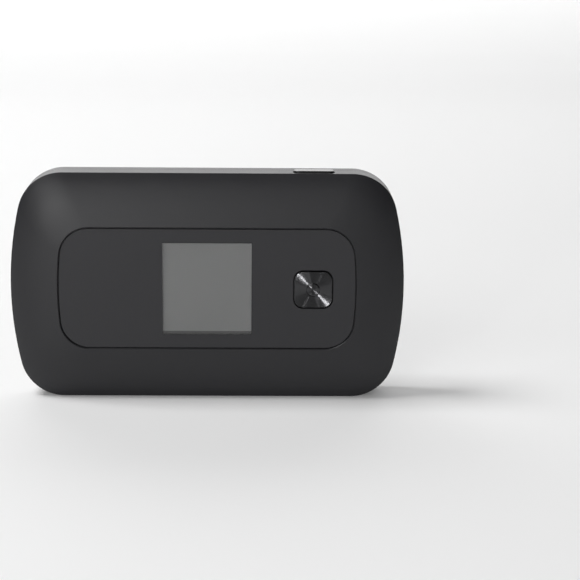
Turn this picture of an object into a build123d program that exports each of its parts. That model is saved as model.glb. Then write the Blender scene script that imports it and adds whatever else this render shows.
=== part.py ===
from build123d import *
import math
import os

os.makedirs("parts", exist_ok=True)

# Mobile hotspot, standing on its lower long edge. Millimetres.
# X runs to the right as the front is faced, Y runs from the front to the back, Z runs up.
# The origin is under the middle of the hotspot, on the surface it stands on.

# ---- driving dimensions -------------------------------------------------------------------
WIDTH = 112.0
HEIGHT = 65.0
DEPTH = 15.4
WALL = 1.3  # thickness of both covers' side walls
SLIP = 0.15  # gap between a moving piece and what guides it

OUTER = {"half_width": WIDTH / 2, "half_height": HEIGHT / 2, "corner": 12.7, "side": 100.0}
RECESS = {"half_width": 42.27, "half_height": 17.4, "corner": 8.4, "side": 98.4}
PANEL_GROOVE = 0.3  # width of the groove between the panel and the front cover
LIP_BEVEL = 0.28  # bevel on the lip round the recess

FRONT_Y = -DEPTH / 2
BACK_Y = DEPTH / 2
BEZEL_DROP = 4.1  # how far the pillow falls back from the recess's lip to the crisp outer edge
BEZEL_TERMS = {1: 0.42, 2: 0.18, 4: 0.40}  # share of the drop under each power of the way out
CRISP_Y = FRONT_Y + BEZEL_DROP
PARTING_Y = 2.6  # rear end of the front cover's side wall
PARTING_GAP = 0.12
REAR_ROUND = 1.3  # round along the back cover's rim

PANEL_SETBACK = 0.2
PANEL_THICK = 0.9
TAPE_THICK = 0.15
FLOOR_THICK = 1.0  # the front cover's floor under the panel
PANEL_Y = FRONT_Y + PANEL_SETBACK
PANEL_REAR_Y = PANEL_Y + PANEL_THICK
FLOOR_Y = PANEL_REAR_Y + TAPE_THICK
FLOOR_REAR_Y = FLOOR_Y + FLOOR_THICK

WINDOW_SIZE = (25.2, 26.4)
WINDOW_AT = (-0.1, -0.05)

MENU_AT = (30.0, -0.1)
MENU_OPENING = (11.4, 11.2)
MENU_OPENING_CORNER = 2.9
MENU_GAP = 0.35
MENU_TRAVEL = 0.4

POWER_X = 30.05
POWER_Y = -0.4
POWER_OPENING = (11.85, 4.6)
POWER_GAP = 0.3
POWER_RAISE = 0.55
POWER_TRAVEL = 0.35

BOARD_FRONT_Y = -3.3
BOARD_REAR_Y = -2.3
DOME_TOP_Y = BOARD_FRONT_Y - 0.6  # front of the switch that the menu button presses
BAY_FLOOR_Y = -2.0
BAY_FLOOR_REAR_Y = -1.2
DECK_Y = 4.1
DECK_REAR_Y = 5.0
BAY_SIZE = (64.0, 48.0)
BAY_AT = (-11.5, 1.3)
BAY_GAP = 0.3
BATTERY_FRONT_Y = -1.0
BATTERY_REAR_Y = 5.7
END_CAP_WIDTH = 2.2

# Places as (x, height above the middle of the hotspot).
FRAME_SCREWS_AT = [(-47.0, 25.8), (47.0, 25.8), (-47.0, -25.8), (47.0, -25.8), (-10.0, 28.6), (24.0, -28.6)]
BOARD_SCREWS_AT = [(-48.6, 4.0), (46.5, 10.0), (30.0, -24.0)]
FRAME_POST_RADIUS = 2.3
FRAME_POST_Y = -0.5  # where the front cover's posts meet the chassis's posts
BOARD_POST_RADIUS = 1.9

CLIP_WIDTH = 5.0
CLIPS_ABOVE_AT = [-34.0, 2.0]
CLIPS_BELOW_AT = [-34.0, -14.0, 12.0, 37.0]

USB_X = 0.0
USB_SHELL = (8.94, 3.26)
USB_DEPTH = 7.3
USB_SETBACK = 0.4  # mouth of the socket inside the outer face
USB_Y = BOARD_REAR_Y + USB_SHELL[1] / 2

SIM_AT = (34.5, 4.5)
SIM_WELL = (16.0, 23.0)
SIM_WELL_AT = (34.5, 5.5)
RESET_AT = (34.5, -12.0)


# ---- helpers ------------------------------------------------------------------------------
def facing(y):
    """Plane across the hotspot at depth y, facing the front, centred on its middle height."""
    return Plane(origin=(0, y, HEIGHT / 2), x_dir=(1, 0, 0), z_dir=(0, -1, 0))


def across(x, y):
    """Plane across the hotspot at x, centred at depth y and on its middle height, facing right."""
    return Plane(origin=(x, y, HEIGHT / 2), x_dir=(0, 1, 0), z_dir=(1, 0, 0))


def outline(y, shape, inset=0.0):
    """Face at depth y: straight long sides, bowed short sides and round corners between them."""
    half_width = shape["half_width"] - inset
    half_height = shape["half_height"] - inset
    corner = shape["corner"] - inset
    side = shape["side"] - inset
    corner_z = half_height - corner
    corner_reach = math.sqrt((side - corner) ** 2 - corner_z**2)
    side_centre_x = half_width - side
    corner_x = side_centre_x + corner_reach
    turn = math.degrees(math.atan2(corner_z, corner_reach))
    with BuildSketch(facing(y)) as sketch:
        with BuildLine():
            Line((-corner_x, half_height), (corner_x, half_height))
            CenterArc((corner_x, corner_z), corner, 90, turn - 90)
            CenterArc((side_centre_x, 0), side, turn, -2 * turn)
            CenterArc((corner_x, -corner_z), corner, -turn, turn - 90)
            Line((corner_x, -half_height), (-corner_x, -half_height))
            CenterArc((-corner_x, -corner_z), corner, 270, turn - 90)
            CenterArc((-side_centre_x, 0), side, 180 + turn, -2 * turn)
            CenterArc((-corner_x, corner_z), corner, 180 - turn, turn - 90)
        make_face()
    return sketch.sketch


def bezel_shape(fraction):
    """Outline between the recess's lip (0) and the crisp outer edge (1)."""
    lip = {key: RECESS[key] + LIP_BEVEL for key in RECESS}
    return {key: lip[key] + fraction * (OUTER[key] - lip[key]) for key in OUTER}


def bezel_y(fraction):
    """Depth of the pillow's surface: gentle beside the recess, steep at the outer edge."""
    return FRONT_Y + BEZEL_DROP * sum(share * fraction**power for power, share in BEZEL_TERMS.items())


def block(y_front, y_rear, size, at=(0, 0), corner=0.0, mode=Mode.ADD):
    """Block between two depths, its size and place given as seen from the front."""
    with BuildSketch(facing(y_rear)) as profile:
        with Locations(at):
            if corner > 0:
                RectangleRounded(size[0], size[1], corner)
            else:
                Rectangle(size[0], size[1])
    extrude(profile.sketch, amount=y_rear - y_front, mode=mode)


def posts(y_front, y_rear, radius, spots, mode=Mode.ADD):
    """Round posts or holes between two depths."""
    with BuildSketch(facing(y_rear)) as profile:
        with Locations(*spots):
            Circle(radius)
    extrude(profile.sketch, amount=y_rear - y_front, mode=mode)


def upright(z_low, z_high, size, at, corner=0.0, mode=Mode.ADD):
    """Block between two heights, its size and place given as seen from above."""
    with BuildSketch(Plane.XY.offset(z_low)) as profile:
        with Locations(at):
            if corner > 0:
                RectangleRounded(size[0], size[1], corner)
            else:
                Rectangle(size[0], size[1])
    extrude(profile.sketch, amount=z_high - z_low, mode=mode)


def finish(part, name):
    """Label a finished piece and write it."""
    part.label = name
    export_step(part, f"parts/{name}.step")


# ---- front cover --------------------------------------------------------------------------
BEZEL_STATIONS = [0.0, 0.2, 0.4, 0.6, 0.8, 1.0]
HOLLOW_STATIONS = [0.45, 0.65, 0.82]
HOLLOW_DEPTH = 1.43  # the slanting wall's thickness, measured front to back
HOLLOW_INSET = 0.3
HOLLOW_SHOULDER_Y = CRISP_Y + 0.6

# The space inside the front cover, less the posts that stand in it.
with BuildPart() as front_hollow:
    hollow_faces = [outline(FLOOR_REAR_Y, bezel_shape(HOLLOW_STATIONS[0]))]
    for station in HOLLOW_STATIONS[1:]:
        hollow_faces.append(outline(bezel_y(station) + HOLLOW_DEPTH, bezel_shape(station), HOLLOW_INSET))
    hollow_faces.append(outline(HOLLOW_SHOULDER_Y, OUTER, WALL))
    loft(hollow_faces, ruled=True)
    extrude(outline(PARTING_Y, OUTER, WALL), amount=PARTING_Y - HOLLOW_SHOULDER_Y)
    posts(FRONT_Y, FRAME_POST_Y, FRAME_POST_RADIUS, FRAME_SCREWS_AT, Mode.SUBTRACT)
    posts(FRONT_Y, BOARD_FRONT_Y, BOARD_POST_RADIUS, BOARD_SCREWS_AT, Mode.SUBTRACT)

SCREW_RADIUS = 0.8
FRAME_SCREW_TIP_Y = -3.0
BOARD_SCREW_TIP_Y = -4.2
GLASS_SIZE = (27.8, 30.0)
GLASS_AT = (-0.1, -0.7)
GLASS_CLEAR = 0.25
USB_OPENING = (9.5, 3.8)
USB_OPENING_CORNER = 1.89
POWER_OPENING_CORNER = 1.6
TOP_WALL_Z = HEIGHT - 2 * WALL

with BuildPart() as front_cover:
    loft([outline(bezel_y(station), bezel_shape(station)) for station in BEZEL_STATIONS])
    extrude(outline(PARTING_Y, OUTER), amount=PARTING_Y - CRISP_Y)
    add(front_hollow.part, mode=Mode.SUBTRACT)
    extrude(outline(FLOOR_Y, RECESS), amount=FLOOR_Y - FRONT_Y, mode=Mode.SUBTRACT)
    loft([outline(FRONT_Y, bezel_shape(0)), outline(FRONT_Y + LIP_BEVEL, RECESS)], mode=Mode.SUBTRACT)
    glass_opening = (GLASS_SIZE[0] + 2 * GLASS_CLEAR, GLASS_SIZE[1] + 2 * GLASS_CLEAR)
    block(FLOOR_Y, FLOOR_REAR_Y, glass_opening, GLASS_AT, mode=Mode.SUBTRACT)
    block(FLOOR_Y, FLOOR_REAR_Y, MENU_OPENING, MENU_AT, MENU_OPENING_CORNER, Mode.SUBTRACT)
    upright(TOP_WALL_Z, HEIGHT, POWER_OPENING, (POWER_X, POWER_Y), POWER_OPENING_CORNER, Mode.SUBTRACT)
    upright(0, 2 * WALL, USB_OPENING, (USB_X, USB_Y), USB_OPENING_CORNER, Mode.SUBTRACT)
    posts(FRAME_SCREW_TIP_Y, FRAME_POST_Y, SCREW_RADIUS, FRAME_SCREWS_AT, Mode.SUBTRACT)
    posts(BOARD_SCREW_TIP_Y, BOARD_FRONT_Y, SCREW_RADIUS, BOARD_SCREWS_AT, Mode.SUBTRACT)
finish(front_cover.part, "front_cover")

# ---- front panel, its tape and the window ---------------------------------------------------
WINDOW_FIT = 0.03
TAPE_INSET = 1.0

with BuildPart() as front_panel:
    extrude(outline(PANEL_REAR_Y, RECESS, PANEL_GROOVE), amount=PANEL_THICK)
    window_opening = (WINDOW_SIZE[0] + 2 * WINDOW_FIT, WINDOW_SIZE[1] + 2 * WINDOW_FIT)
    block(PANEL_Y, PANEL_REAR_Y, window_opening, WINDOW_AT, mode=Mode.SUBTRACT)
    block(PANEL_Y, PANEL_REAR_Y, MENU_OPENING, MENU_AT, MENU_OPENING_CORNER, Mode.SUBTRACT)
finish(front_panel.part, "front_panel")

with BuildPart() as panel_tape:
    extrude(outline(FLOOR_Y, RECESS, TAPE_INSET), amount=TAPE_THICK)
    tape_opening = (glass_opening[0] + TAPE_INSET, glass_opening[1] + TAPE_INSET)
    block(PANEL_REAR_Y, FLOOR_Y, tape_opening, GLASS_AT, mode=Mode.SUBTRACT)
    tape_menu = (MENU_OPENING[0] + TAPE_INSET, MENU_OPENING[1] + TAPE_INSET)
    block(PANEL_REAR_Y, FLOOR_Y, tape_menu, MENU_AT, MENU_OPENING_CORNER, Mode.SUBTRACT)
finish(panel_tape.part, "panel_tape")

with BuildPart() as display_window:
    block(PANEL_Y, PANEL_REAR_Y, WINDOW_SIZE, WINDOW_AT)
finish(display_window.part, "display_window")

# ---- display --------------------------------------------------------------------------------
GASKET_THICK = 0.6
GASKET_INSIDE = (26.6, 27.7)
GASKET_INSIDE_AT = (WINDOW_AT[0], 0.1)
GLASS_Y = PANEL_REAR_Y + GASKET_THICK
GLASS_REAR_Y = GLASS_Y + 1.0
POLARISER_WIDTH = 26.2
POLARISER_THICK = 0.2
POLARISER_FOOT = -12.5  # the polariser ends here and the bare glass shows below it
POLARISER_HEAD = 13.7
TRAY_SIZE = (29.4, 31.6)
TRAY_CORNER = 0.5
TRAY_REAR_Y = BOARD_FRONT_Y - 0.3
TRAY_Y = FLOOR_REAR_Y + 0.05
TRAY_FIT = 0.1

with BuildPart() as display_gasket:
    block(PANEL_REAR_Y, GLASS_Y, GLASS_SIZE, GLASS_AT)
    block(PANEL_REAR_Y, GLASS_Y, GASKET_INSIDE, GASKET_INSIDE_AT, mode=Mode.SUBTRACT)
finish(display_gasket.part, "display_gasket")

with BuildPart() as lcd_polariser:
    polariser_size = (POLARISER_WIDTH, POLARISER_HEAD - POLARISER_FOOT)
    polariser_at = (WINDOW_AT[0], (POLARISER_HEAD + POLARISER_FOOT) / 2)
    block(GLASS_Y - POLARISER_THICK, GLASS_Y, polariser_size, polariser_at)
finish(lcd_polariser.part, "lcd_polariser")

with BuildPart() as lcd_glass:
    block(GLASS_Y, GLASS_REAR_Y, GLASS_SIZE, GLASS_AT)
finish(lcd_glass.part, "lcd_glass")

with BuildPart() as lcd_backlight:
    block(TRAY_Y, TRAY_REAR_Y, TRAY_SIZE, GLASS_AT, TRAY_CORNER)
    pocket = (GLASS_SIZE[0] + 2 * TRAY_FIT, GLASS_SIZE[1] + 2 * TRAY_FIT)
    block(TRAY_Y, GLASS_REAR_Y, pocket, GLASS_AT, mode=Mode.SUBTRACT)
finish(lcd_backlight.part, "lcd_backlight")

FLEX_WIDTH = 10.0
FLEX_THICK = 0.15
FLEX_BEND = 0.6
FLEX_DROP = 2.2  # straight run below the tray before the flex turns back to the board
FLEX_SLANT = 1.8
CONNECTOR_SIZE = (11.5, 2.6)
CONNECTOR_HEIGHT = 0.9
CONNECTOR_AT = (-0.1, -23.0)
TRAY_FOOT = GLASS_AT[1] - TRAY_SIZE[1] / 2
FLEX_START_Y = GLASS_REAR_Y - 0.2
FLEX_END_Y = BOARD_FRONT_Y - CONNECTOR_HEIGHT - FLEX_THICK / 2

with BuildPart() as lcd_flex:
    with BuildSketch(across(GLASS_AT[0] - FLEX_WIDTH / 2, 0)):
        with BuildLine():
            FilletPolyline(
                (FLEX_START_Y, TRAY_FOOT),
                (FLEX_START_Y, TRAY_FOOT - FLEX_DROP),
                (FLEX_END_Y, TRAY_FOOT - FLEX_DROP - FLEX_SLANT),
                (FLEX_END_Y, CONNECTOR_AT[1] - CONNECTOR_SIZE[1] / 3),
                radius=FLEX_BEND,
            )
        trace(line_width=FLEX_THICK)
    extrude(amount=FLEX_WIDTH)
finish(lcd_flex.part, "lcd_flex")

with BuildPart() as lcd_connector:
    block(BOARD_FRONT_Y - CONNECTOR_HEIGHT, BOARD_FRONT_Y, CONNECTOR_SIZE, CONNECTOR_AT)
finish(lcd_connector.part, "lcd_connector")

# ---- menu button ----------------------------------------------------------------------------
MENU_FACE_Y = PANEL_Y - 0.05
MENU_FACE_THICK = 0.5
MENU_FACE_BEVEL = 0.25
MENU_FLANGE_Y = FLOOR_REAR_Y + 0.1
MENU_FLANGE_THICK = 0.6
MENU_FLANGE_MARGIN = 1.1  # how far the flange reaches behind the cover's floor on each side
MENU_FLANGE_CORNER = 3.5
MENU_STEM_RADIUS = 1.6
MENU_STEM_END_Y = DOME_TOP_Y - MENU_TRAVEL - SLIP
menu_size = (MENU_OPENING[0] - 2 * MENU_GAP, MENU_OPENING[1] - 2 * MENU_GAP)
menu_corner = MENU_OPENING_CORNER - MENU_GAP

with BuildPart() as menu_button_face:
    block(MENU_FACE_Y, MENU_FACE_Y + MENU_FACE_THICK, menu_size, MENU_AT, menu_corner)
    chamfer(menu_button_face.faces().sort_by(Axis.Y)[0].edges(), MENU_FACE_BEVEL)
finish(menu_button_face.part, "menu_button_face")

with BuildPart() as menu_button_cap:
    block(MENU_FACE_Y + MENU_FACE_THICK, MENU_FLANGE_Y, menu_size, MENU_AT, menu_corner)
    flange = (MENU_OPENING[0] + 2 * MENU_FLANGE_MARGIN, MENU_OPENING[1] + 2 * MENU_FLANGE_MARGIN)
    stem_y = MENU_FLANGE_Y + MENU_FLANGE_THICK
    block(MENU_FLANGE_Y, stem_y, flange, MENU_AT, MENU_FLANGE_CORNER)
    posts(stem_y, MENU_STEM_END_Y, MENU_STEM_RADIUS, [MENU_AT])
finish(menu_button_cap.part, "menu_button_cap")

# ---- power button ---------------------------------------------------------------------------
POWER_CORNER = 1.3
POWER_EDGE_ROUND = 0.25
POWER_FLANGE_TOP = HEIGHT - WALL - 0.1
POWER_FLANGE = (13.4, 4.9)
POWER_FLANGE_THICK = 0.7
POWER_FLANGE_CORNER = 1.0
POWER_STEM = (3.0, 1.6)
POWER_STEM_LENGTH = 0.5

with BuildPart() as power_button_cap:
    power_size = (POWER_OPENING[0] - 2 * POWER_GAP, POWER_OPENING[1] - 2 * POWER_GAP)
    upright(POWER_FLANGE_TOP, HEIGHT + POWER_RAISE, power_size, (POWER_X, POWER_Y), POWER_CORNER)
    fillet(power_button_cap.faces().sort_by(Axis.Z)[-1].edges(), POWER_EDGE_ROUND)
    flange_low = POWER_FLANGE_TOP - POWER_FLANGE_THICK
    upright(flange_low, POWER_FLANGE_TOP, POWER_FLANGE, (POWER_X, POWER_Y), POWER_FLANGE_CORNER)
    upright(flange_low - POWER_STEM_LENGTH, flange_low, POWER_STEM, (POWER_X, POWER_Y))
finish(power_button_cap.part, "power_button_cap")

# ---- main board and what stands on its front --------------------------------------------------
BOARD = {"half_width": 51.0, "half_height": 28.3, "corner": 11.0, "side": 99.0}
POST_CLEAR = 0.4
SHANK_CLEAR = 0.1

with BuildPart() as main_board:
    extrude(outline(BOARD_REAR_Y, BOARD), amount=BOARD_REAR_Y - BOARD_FRONT_Y)
    posts(BOARD_FRONT_Y, BOARD_REAR_Y, FRAME_POST_RADIUS + POST_CLEAR, FRAME_SCREWS_AT, Mode.SUBTRACT)
    posts(BOARD_FRONT_Y, BOARD_REAR_Y, SCREW_RADIUS + SHANK_CLEAR, BOARD_SCREWS_AT, Mode.SUBTRACT)
finish(main_board.part, "main_board")

SHIELD_HEIGHT = 1.5
SHIELD_SHEET = 0.2
SHIELD_CORNER = 0.6
SHIELDS = {
    "modem_shield": ((26.0, 21.0), (-32.0, -9.5)),
    "processor_shield": ((26.0, 18.0), (-32.0, 12.0)),
    "wifi_shield": ((21.0, 12.0), (30.5, 15.0)),
}
for name, (size, at) in SHIELDS.items():
    with BuildPart() as shield:
        top_y = BOARD_FRONT_Y - SHIELD_HEIGHT
        block(top_y, BOARD_FRONT_Y, size, at, SHIELD_CORNER)
        inside = (size[0] - 2 * SHIELD_SHEET, size[1] - 2 * SHIELD_SHEET)
        inside_corner = SHIELD_CORNER - SHIELD_SHEET
        block(top_y + SHIELD_SHEET, BOARD_FRONT_Y, inside, at, inside_corner, Mode.SUBTRACT)
    finish(shield.part, name)

MODEM_PAD = (18.0, 14.0)

with BuildPart() as modem_pad:
    block(FLOOR_REAR_Y, BOARD_FRONT_Y - SHIELD_HEIGHT, MODEM_PAD, SHIELDS["modem_shield"][1])
finish(modem_pad.part, "modem_pad")

DOME_BASE = (4.6, 4.6)
DOME_RADIUS = 1.2
DOME_BASE_Y = DOME_TOP_Y + 0.2
DOME_BASE_CORNER = 0.4

with BuildPart() as menu_switch:
    block(DOME_BASE_Y, BOARD_FRONT_Y, DOME_BASE, MENU_AT, DOME_BASE_CORNER)
    posts(DOME_TOP_Y, DOME_BASE_Y, DOME_RADIUS, [MENU_AT])
finish(menu_switch.part, "menu_switch")

# ---- what stands on the board's back ----------------------------------------------------------
POWER_SWITCH_TOP = POWER_FLANGE_TOP - POWER_FLANGE_THICK - POWER_STEM_LENGTH - POWER_TRAVEL - SLIP
POWER_SWITCH = (6.0, 3.2)
POWER_SWITCH_HEIGHT = 2.0
SWITCH_CORNER = 0.2
PLUNGER = (1.8, 1.2)
PLUNGER_LENGTH = 0.5

with BuildPart() as power_switch:
    body_top = POWER_SWITCH_TOP - PLUNGER_LENGTH
    body_y = BOARD_REAR_Y + POWER_SWITCH[1] / 2
    upright(body_top - POWER_SWITCH_HEIGHT, body_top, POWER_SWITCH, (POWER_X, body_y), SWITCH_CORNER)
    upright(body_top, POWER_SWITCH_TOP, PLUNGER, (POWER_X, POWER_Y))
finish(power_switch.part, "power_switch")

RESET_BODY = (3.4, 3.4)
RESET_BODY_REAR_Y = BOARD_REAR_Y + 1.2
RESET_PLUNGER_RADIUS = 0.8
RESET_PLUNGER_REAR_Y = BOARD_REAR_Y + 1.6

with BuildPart() as reset_switch:
    block(BOARD_REAR_Y, RESET_BODY_REAR_Y, RESET_BODY, RESET_AT, SWITCH_CORNER)
    posts(RESET_BODY_REAR_Y, RESET_PLUNGER_REAR_Y, RESET_PLUNGER_RADIUS, [RESET_AT])
finish(reset_switch.part, "reset_switch")

CHARGER_SIZE = (4.0, 3.6)
CHARGER_THICK = 0.9
CHARGER_AT = (-14.0, -26.2)

with BuildPart() as charger_chip:
    block(BOARD_REAR_Y, BOARD_REAR_Y + CHARGER_THICK, CHARGER_SIZE, CHARGER_AT, SWITCH_CORNER)
finish(charger_chip.part, "charger_chip")

USB_SHEET = 0.3
USB_BASE = 1.2
USB_TONGUE = (6.7, 0.7)
USB_TONGUE_SETBACK = 1.2
USB_CORNER = 1.61
usb_bore = (USB_SHELL[0] - 2 * USB_SHEET, USB_SHELL[1] - 2 * USB_SHEET)
usb_end = USB_SETBACK + USB_DEPTH

with BuildPart() as usb_shell:
    upright(USB_SETBACK, usb_end, USB_SHELL, (USB_X, USB_Y), USB_CORNER)
    upright(USB_SETBACK, usb_end, usb_bore, (USB_X, USB_Y), USB_CORNER - USB_SHEET, Mode.SUBTRACT)
finish(usb_shell.part, "usb_shell")

with BuildPart() as usb_tongue:
    upright(usb_end - USB_BASE, usb_end, usb_bore, (USB_X, USB_Y), USB_CORNER - USB_SHEET)
    upright(USB_SETBACK + USB_TONGUE_SETBACK, usb_end - USB_BASE, USB_TONGUE, (USB_X, USB_Y))
finish(usb_tongue.part, "usb_tongue")

CARD_SIZE = (8.8, 12.3)
CARD_THICK = 0.67
CARD_CORNER = 0.8
CARD_BEVEL = 0.1
CARD_CLEAR = 0.1
CARD_OUT = 2.2  # how far the card stands out of its socket
CARD_HOLDER_SIZE = (13.0, 14.0)
CARD_HOLDER_THICK = 1.35
CARD_HOLDER_CORNER = 0.4
CARD_FLOOR = 0.4
card_at = (SIM_AT[0], SIM_AT[1] + (CARD_HOLDER_SIZE[1] - CARD_SIZE[1]) / 2 + CARD_OUT)
card_y = BOARD_REAR_Y + CARD_FLOOR
card_rear_y = card_y + CARD_THICK

with BuildPart() as sim_socket:
    holder_rear_y = BOARD_REAR_Y + CARD_HOLDER_THICK
    block(BOARD_REAR_Y, holder_rear_y, CARD_HOLDER_SIZE, SIM_AT, CARD_HOLDER_CORNER)
    slot = (CARD_SIZE[0] + 2 * CARD_CLEAR, CARD_SIZE[1] + 2 * CARD_CLEAR)
    block(card_y, card_rear_y, slot, card_at, mode=Mode.SUBTRACT)
finish(sim_socket.part, "sim_socket")

with BuildPart() as sim_card:
    block(card_y, card_rear_y, CARD_SIZE, card_at, CARD_CORNER)
    chamfer(sim_card.faces().sort_by(Axis.Y)[-1].edges().group_by(Axis.Z)[0], CARD_BEVEL)
finish(sim_card.part, "sim_card")

# ---- chassis with the battery bay ---------------------------------------------------------------
CHASSIS_INSET = WALL + 0.25
CHASSIS_RIM = 1.0
CHASSIS_Y = PARTING_Y - 0.3
BAY_WALL = 1.0
BAY_CORNER = 0.6
WELL_WALL = 0.9
WELL_CORNER = 0.8
WELL_Y = BOARD_REAR_Y + 0.1
WALL_CORNER = 1.0
CLIP_NOTCH = 0.95
CLIP_NOTCH_CLEAR = 0.3
HEAD_RADIUS = 1.4
HEAD_CLEAR = 0.15
HEAD_SEAT_Y = 2.6
RESET_HOLE_RADIUS = 1.1
CONNECTOR_BLOCK = (4.0, 14.0)
CONNECTOR_REAR_Y = 2.4
CONNECTOR_CORNER = 0.3
CONNECTOR_WINDOW = (6.0, 14.4)
CONNECTOR_WINDOW_REAR_Y = 2.8
bay_right = BAY_AT[0] + BAY_SIZE[0] / 2
connector_at = (bay_right + BAY_GAP + CONNECTOR_BLOCK[0] / 2, 0)
connector_window_at = (bay_right - BAY_WALL + CONNECTOR_WINDOW[0] / 2, 0)
chassis_half_height = HEIGHT / 2 - CHASSIS_INSET
chassis_half_width = WIDTH / 2 - CHASSIS_INSET

with BuildPart() as mid_frame:
    extrude(outline(DECK_REAR_Y, OUTER, CHASSIS_INSET), amount=DECK_REAR_Y - CHASSIS_Y)
    under_deck = outline(DECK_Y, OUTER, CHASSIS_INSET + CHASSIS_RIM)
    extrude(under_deck, amount=DECK_Y - CHASSIS_Y, mode=Mode.SUBTRACT)
    bay_outside = (BAY_SIZE[0] + 2 * BAY_WALL, BAY_SIZE[1] + 2 * BAY_WALL)
    block(BAY_FLOOR_Y, DECK_REAR_Y, bay_outside, BAY_AT, WALL_CORNER)
    well_outside = (SIM_WELL[0] + 2 * WELL_WALL, SIM_WELL[1] + 2 * WELL_WALL)
    block(WELL_Y, DECK_REAR_Y, well_outside, SIM_WELL_AT, WALL_CORNER)
    posts(FRAME_POST_Y, DECK_REAR_Y, FRAME_POST_RADIUS, FRAME_SCREWS_AT)
    block(BAY_FLOOR_REAR_Y, DECK_REAR_Y, BAY_SIZE, BAY_AT, BAY_CORNER, Mode.SUBTRACT)
    block(WELL_Y, DECK_REAR_Y, SIM_WELL, SIM_WELL_AT, WELL_CORNER, Mode.SUBTRACT)
    block(BAY_FLOOR_Y, CONNECTOR_WINDOW_REAR_Y, CONNECTOR_WINDOW, connector_window_at, mode=Mode.SUBTRACT)
    posts(HEAD_SEAT_Y, DECK_REAR_Y, HEAD_RADIUS + HEAD_CLEAR, FRAME_SCREWS_AT, Mode.SUBTRACT)
    posts(FRAME_POST_Y, DECK_REAR_Y, SCREW_RADIUS + SHANK_CLEAR, FRAME_SCREWS_AT, Mode.SUBTRACT)
    posts(DECK_Y, DECK_REAR_Y, RESET_HOLE_RADIUS, [RESET_AT], Mode.SUBTRACT)
    notch = (CLIP_WIDTH + 2 * CLIP_NOTCH_CLEAR, 2 * CLIP_NOTCH)
    notches_at = [(x, chassis_half_height) for x in CLIPS_ABOVE_AT]
    notches_at += [(x, -chassis_half_height) for x in CLIPS_BELOW_AT]
    for spot in notches_at:
        block(CHASSIS_Y, DECK_REAR_Y, notch, spot, mode=Mode.SUBTRACT)
    for x in (-chassis_half_width, chassis_half_width):
        block(CHASSIS_Y, DECK_REAR_Y, (notch[1], notch[0]), (x, 0), mode=Mode.SUBTRACT)
finish(mid_frame.part, "mid_frame")

LABEL_THICK = 0.1
BAY_LABEL = (44.0, 30.0)
LABEL_CORNER = 1.5
DOT_RADIUS = 2.0
DOT_AT = (48.0, -9.0)

with BuildPart() as bay_label:
    block(BAY_FLOOR_REAR_Y, BAY_FLOOR_REAR_Y + LABEL_THICK, BAY_LABEL, BAY_AT, LABEL_CORNER)
finish(bay_label.part, "bay_label")

with BuildPart() as moisture_dot:
    posts(DECK_REAR_Y, DECK_REAR_Y + LABEL_THICK, DOT_RADIUS, [DOT_AT])
finish(moisture_dot.part, "moisture_dot")

# ---- battery ------------------------------------------------------------------------------------
battery_size = (BAY_SIZE[0] - 2 * BAY_GAP, BAY_SIZE[1] - 2 * BAY_GAP)
battery_left = BAY_AT[0] - battery_size[0] / 2
battery_right = BAY_AT[0] + battery_size[0] / 2
cell_size = (battery_size[0] - END_CAP_WIDTH, battery_size[1])
cell_at = (battery_left + cell_size[0] / 2, BAY_AT[1])
cap_at = (battery_right - END_CAP_WIDTH / 2, BAY_AT[1])
LONG_ROUND = 1.5
END_ROUND = 1.0
WRAP_MARGIN = 2.0
PAD_COUNT = 4
PAD_SPACING = 3.0
PAD_SIZE = (3.6, 1.8)
PAD_THICK = 0.15
PAD_Y = 0.4

with BuildPart() as battery_cell:
    block(BATTERY_FRONT_Y, BATTERY_REAR_Y, cell_size, cell_at)
    fillet(battery_cell.edges().filter_by(Axis.X), LONG_ROUND)
    fillet(battery_cell.faces().sort_by(Axis.X)[0].edges(), END_ROUND)
finish(battery_cell.part, "battery_cell")

with BuildPart() as battery_pads:
    with BuildSketch(across(battery_right, PAD_Y)):
        with GridLocations(0, PAD_SPACING, 1, PAD_COUNT):
            Rectangle(*PAD_SIZE)
    extrude(amount=-PAD_THICK)
finish(battery_pads.part, "battery_pads")

with BuildPart() as battery_end_cap:
    block(BATTERY_FRONT_Y, BATTERY_REAR_Y, (END_CAP_WIDTH, battery_size[1]), cap_at)
    fillet(battery_end_cap.edges().filter_by(Axis.X), LONG_ROUND)
    add(battery_pads.part, mode=Mode.SUBTRACT)
finish(battery_end_cap.part, "battery_end_cap")

with BuildPart() as battery_wrap:
    wrap_size = (cell_size[0] - 2 * WRAP_MARGIN, cell_size[1] - 2 * WRAP_MARGIN)
    block(BATTERY_REAR_Y, BATTERY_REAR_Y + LABEL_THICK, wrap_size, cell_at, LABEL_CORNER)
finish(battery_wrap.part, "battery_wrap")

with BuildPart() as battery_connector:
    block(BOARD_REAR_Y, CONNECTOR_REAR_Y, CONNECTOR_BLOCK, connector_at, CONNECTOR_CORNER)
finish(battery_connector.part, "battery_connector")

SPRING_SIZE = (2.6, 0.8)
SPRING_CLEAR = 0.05
spring_reach = connector_at[0] - CONNECTOR_BLOCK[0] / 2 - battery_right - SPRING_CLEAR

with BuildPart() as battery_springs:
    with BuildSketch(across(battery_right + SPRING_CLEAR, PAD_Y)):
        with GridLocations(0, PAD_SPACING, 1, PAD_COUNT):
            SlotOverall(*SPRING_SIZE)
    extrude(amount=spring_reach)
finish(battery_springs.part, "battery_springs")

# ---- antennas -------------------------------------------------------------------------------------
FILM_THICK = 0.15
FILM_CORNER = 0.8
SLIT = 0.6
SLIT_REACH = 0.65  # how far across the film each slit runs


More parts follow.
